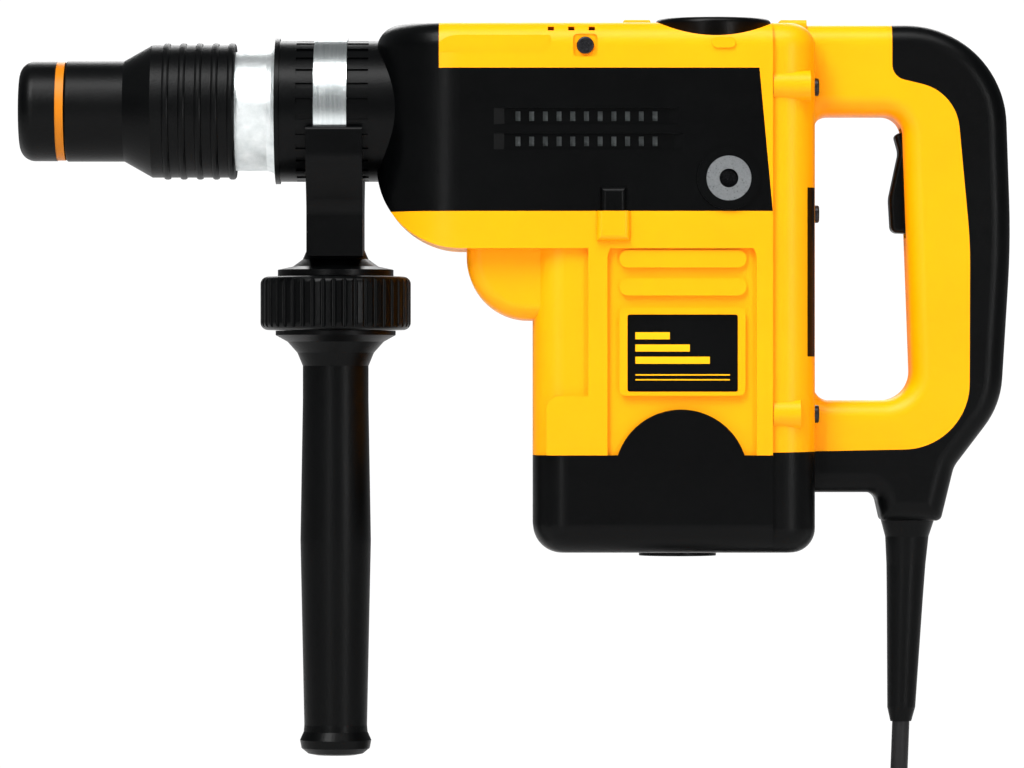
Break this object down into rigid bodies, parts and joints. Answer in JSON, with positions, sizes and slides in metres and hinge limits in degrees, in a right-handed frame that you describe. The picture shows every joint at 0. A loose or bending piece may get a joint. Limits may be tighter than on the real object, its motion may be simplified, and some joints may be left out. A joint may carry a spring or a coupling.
{
  "type": "demolition hammer",
  "caption": "Corded hammer drill for breaking: keyed tool socket, crank-driven air-cushion hammer, upright motor, closed rear handle and clamp-on side handle.",
  "frame": {"origin": "centre of the tool socket's mouth, on the spindle axis", "axes": "the tool leaves along -X, the rear handle is at +X, the motor hangs down at -Z, +Y is the left side seen from the front"},
  "size_m": [0.451, 0.17, 0.3932],
  "materials": {
    "yellow_plastic": "moulded yellow housing plastic, satin gloss",
    "black_plastic": "black glass-filled plastic, fine grain",
    "black_rubber": "soft black overmould with a fine texture",
    "cord_rubber": "black rubber cable jacket",
    "cast_aluminium": "bead-blasted cast aluminium",
    "machined_steel": "ground steel",
    "strap_steel": "brushed stainless strap",
    "dark_steel": "blackened steel",
    "ring_yellow": "orange-yellow marker ring",
    "copper": "copper windings and segments",
    "carbon": "carbon brush",
    "spring_steel": "spring steel",
    "brass_metal": "turned brass",
    "inner_plastic": "glass-filled nylon"
  },
  "bodies": {
    "housing": {"front_barrel": "cast_aluminium", "clamp_collar": "black_plastic", "gearcase": "cast_aluminium", "gearcase_cover": "black_plastic", "top_cover": "yellow_plastic", "motor_housing": "yellow_plastic", "base_cover": "black_plastic", "handle_left_shell": "yellow_plastic", "handle_right_shell": "yellow_plastic", "rear_grip": "black_rubber", "air_baffle": "inner_plastic", "nameplates": "black_plastic", "handle_inserts": "machined_steel", "cover_screws": "dark_steel", "handle_screws": "dark_steel", "stator_core": "dark_steel", "field_coils": "copper", "brush_holders": "brass_metal", "left_brush_spring": "spring_steel", "right_brush_spring": "spring_steel", "switch_body": "inner_plastic", "trigger_pin": "machined_steel", "trigger_spring": "spring_steel", "spindle_bearings": "machined_steel", "oil_seal": "black_rubber", "shaft_bearings": "machined_steel", "strain_relief": "black_rubber", "cord": "cord_rubber", "cord_coil": "cord_rubber", "cord_tail": "cord_rubber", "plug": "black_rubber"},
    "spindle_set": {"spindle": "machined_steel", "locking_segments": "dark_steel", "nose_cap": "black_rubber", "marker_ring": "ring_yellow", "ring_gear": "machined_steel", "sleeve_spring": "spring_steel"},
    "sleeve": {"lock_sleeve": "black_rubber"},
    "bolt": {"impact_bolt": "machined_steel"},
    "striker_set": {"striker": "machined_steel"},
    "piston_set": {"piston": "cast_aluminium", "wrist_pin": "machined_steel"},
    "rod": {"connecting_rod": "cast_aluminium"},
    "crank": {"crankshaft": "machined_steel", "crank_gear": "machined_steel"},
    "lay": {"bevel_pinion": "machined_steel", "lay_gear": "machined_steel"},
    "armature": {"armature_shaft": "machined_steel", "armature_core": "dark_steel", "commutator": "copper", "cooling_fan": "inner_plastic"},
    "left_brush_set": {"left_brush": "carbon"},
    "right_brush_set": {"right_brush": "carbon"},
    "trigger_lever": {"trigger": "black_plastic"},
    "selector": {"mode_dial": "black_plastic"},
    "side_handle": {"clamp_strap": "strap_steel", "handle_bracket": "black_plastic", "tension_bolt": "machined_steel", "side_grip": "black_rubber"},
    "wheel": {"clamp_wheel": "black_plastic"}
  },
  "joints": [
    {"name": "motor_spin", "type": "hinge", "parent": "housing", "child": "armature", "pos_m": [0.295, 0, -0.12], "axis": [0, 0, 1], "continuous": true},
    {"name": "crank_spin", "type": "hinge", "parent": "housing", "child": "crank", "pos_m": [0.26, 0, -0.05], "axis": [0, 0, 1], "continuous": true},
    {"name": "lay_spin", "type": "hinge", "parent": "housing", "child": "lay", "pos_m": [0.215, 0, -0.05], "axis": [0, 0, 1], "continuous": true},
    {"name": "spindle_spin", "type": "hinge", "parent": "housing", "child": "spindle_set", "pos_m": [0.1, 0, 0], "axis": [1, 0, 0], "continuous": true},
    {"name": "sleeve_slide", "type": "slide", "parent": "spindle_set", "child": "sleeve", "axis": [1, 0, 0], "range_m": [0, 0.01], "stiffness_N_per_m": 600, "springref_m": -0.008, "deforming": ["sleeve_spring"]},
    {"name": "bolt_slide", "type": "slide", "parent": "spindle_set", "child": "bolt", "axis": [1, 0, 0], "range_m": [-0.0025, 0.004]},
    {"name": "striker_slide", "type": "slide", "parent": "spindle_set", "child": "striker_set", "axis": [1, 0, 0], "range_m": [-0.005, 0.008]},
    {"name": "piston_slide", "type": "slide", "parent": "housing", "child": "piston_set", "axis": [1, 0, 0], "range_m": [0, 0.026]},
    {"name": "rod_swing", "type": "hinge", "parent": "piston_set", "child": "rod", "pos_m": [0.185, 0, 0], "axis": [0, 0, 1], "range_deg": [-12, 12]},
    {"name": "left_brush_wear", "type": "slide", "parent": "housing", "child": "left_brush_set", "axis": [0, -1, 0], "range_m": [0, 0.003], "stiffness_N_per_m": 200, "springref_m": -0.01, "deforming": ["left_brush_spring"]},
    {"name": "right_brush_wear", "type": "slide", "parent": "housing", "child": "right_brush_set", "axis": [0, 1, 0], "range_m": [0, 0.003], "stiffness_N_per_m": 200, "springref_m": -0.01, "deforming": ["right_brush_spring"]},
    {"name": "trigger_pull", "type": "hinge", "parent": "housing", "child": "trigger_lever", "pos_m": [0.4045, 0, -0.0135], "axis": [0, -1, 0], "range_deg": [0, 9], "stiffness_Nm_per_rad": 1.5, "springref_deg": -6.88, "deforming": ["trigger_spring"]},
    {"name": "selector_turn", "type": "hinge", "parent": "housing", "child": "selector", "pos_m": [0.3113, 0, 0.035], "axis": [0, 0, 1], "range_deg": [-90, 90]},
    {"name": "side_handle_swivel", "type": "hinge", "parent": "housing", "child": "side_handle", "pos_m": [0.137, 0, 0], "axis": [1, 0, 0], "continuous": true},
    {"name": "clamp_wheel_turn", "type": "hinge", "parent": "side_handle", "child": "wheel", "pos_m": [0.139, 0, -0.087], "axis": [0, 0, 1], "continuous": true}
  ],
  "couplings": [
    {"joint": "crank_spin", "follows": "motor_spin", "ratio": -0.27273},
    {"joint": "lay_spin", "follows": "motor_spin", "ratio": 0.42857},
    {"joint": "spindle_spin", "follows": "motor_spin", "ratio": -0.17143}
  ]
}
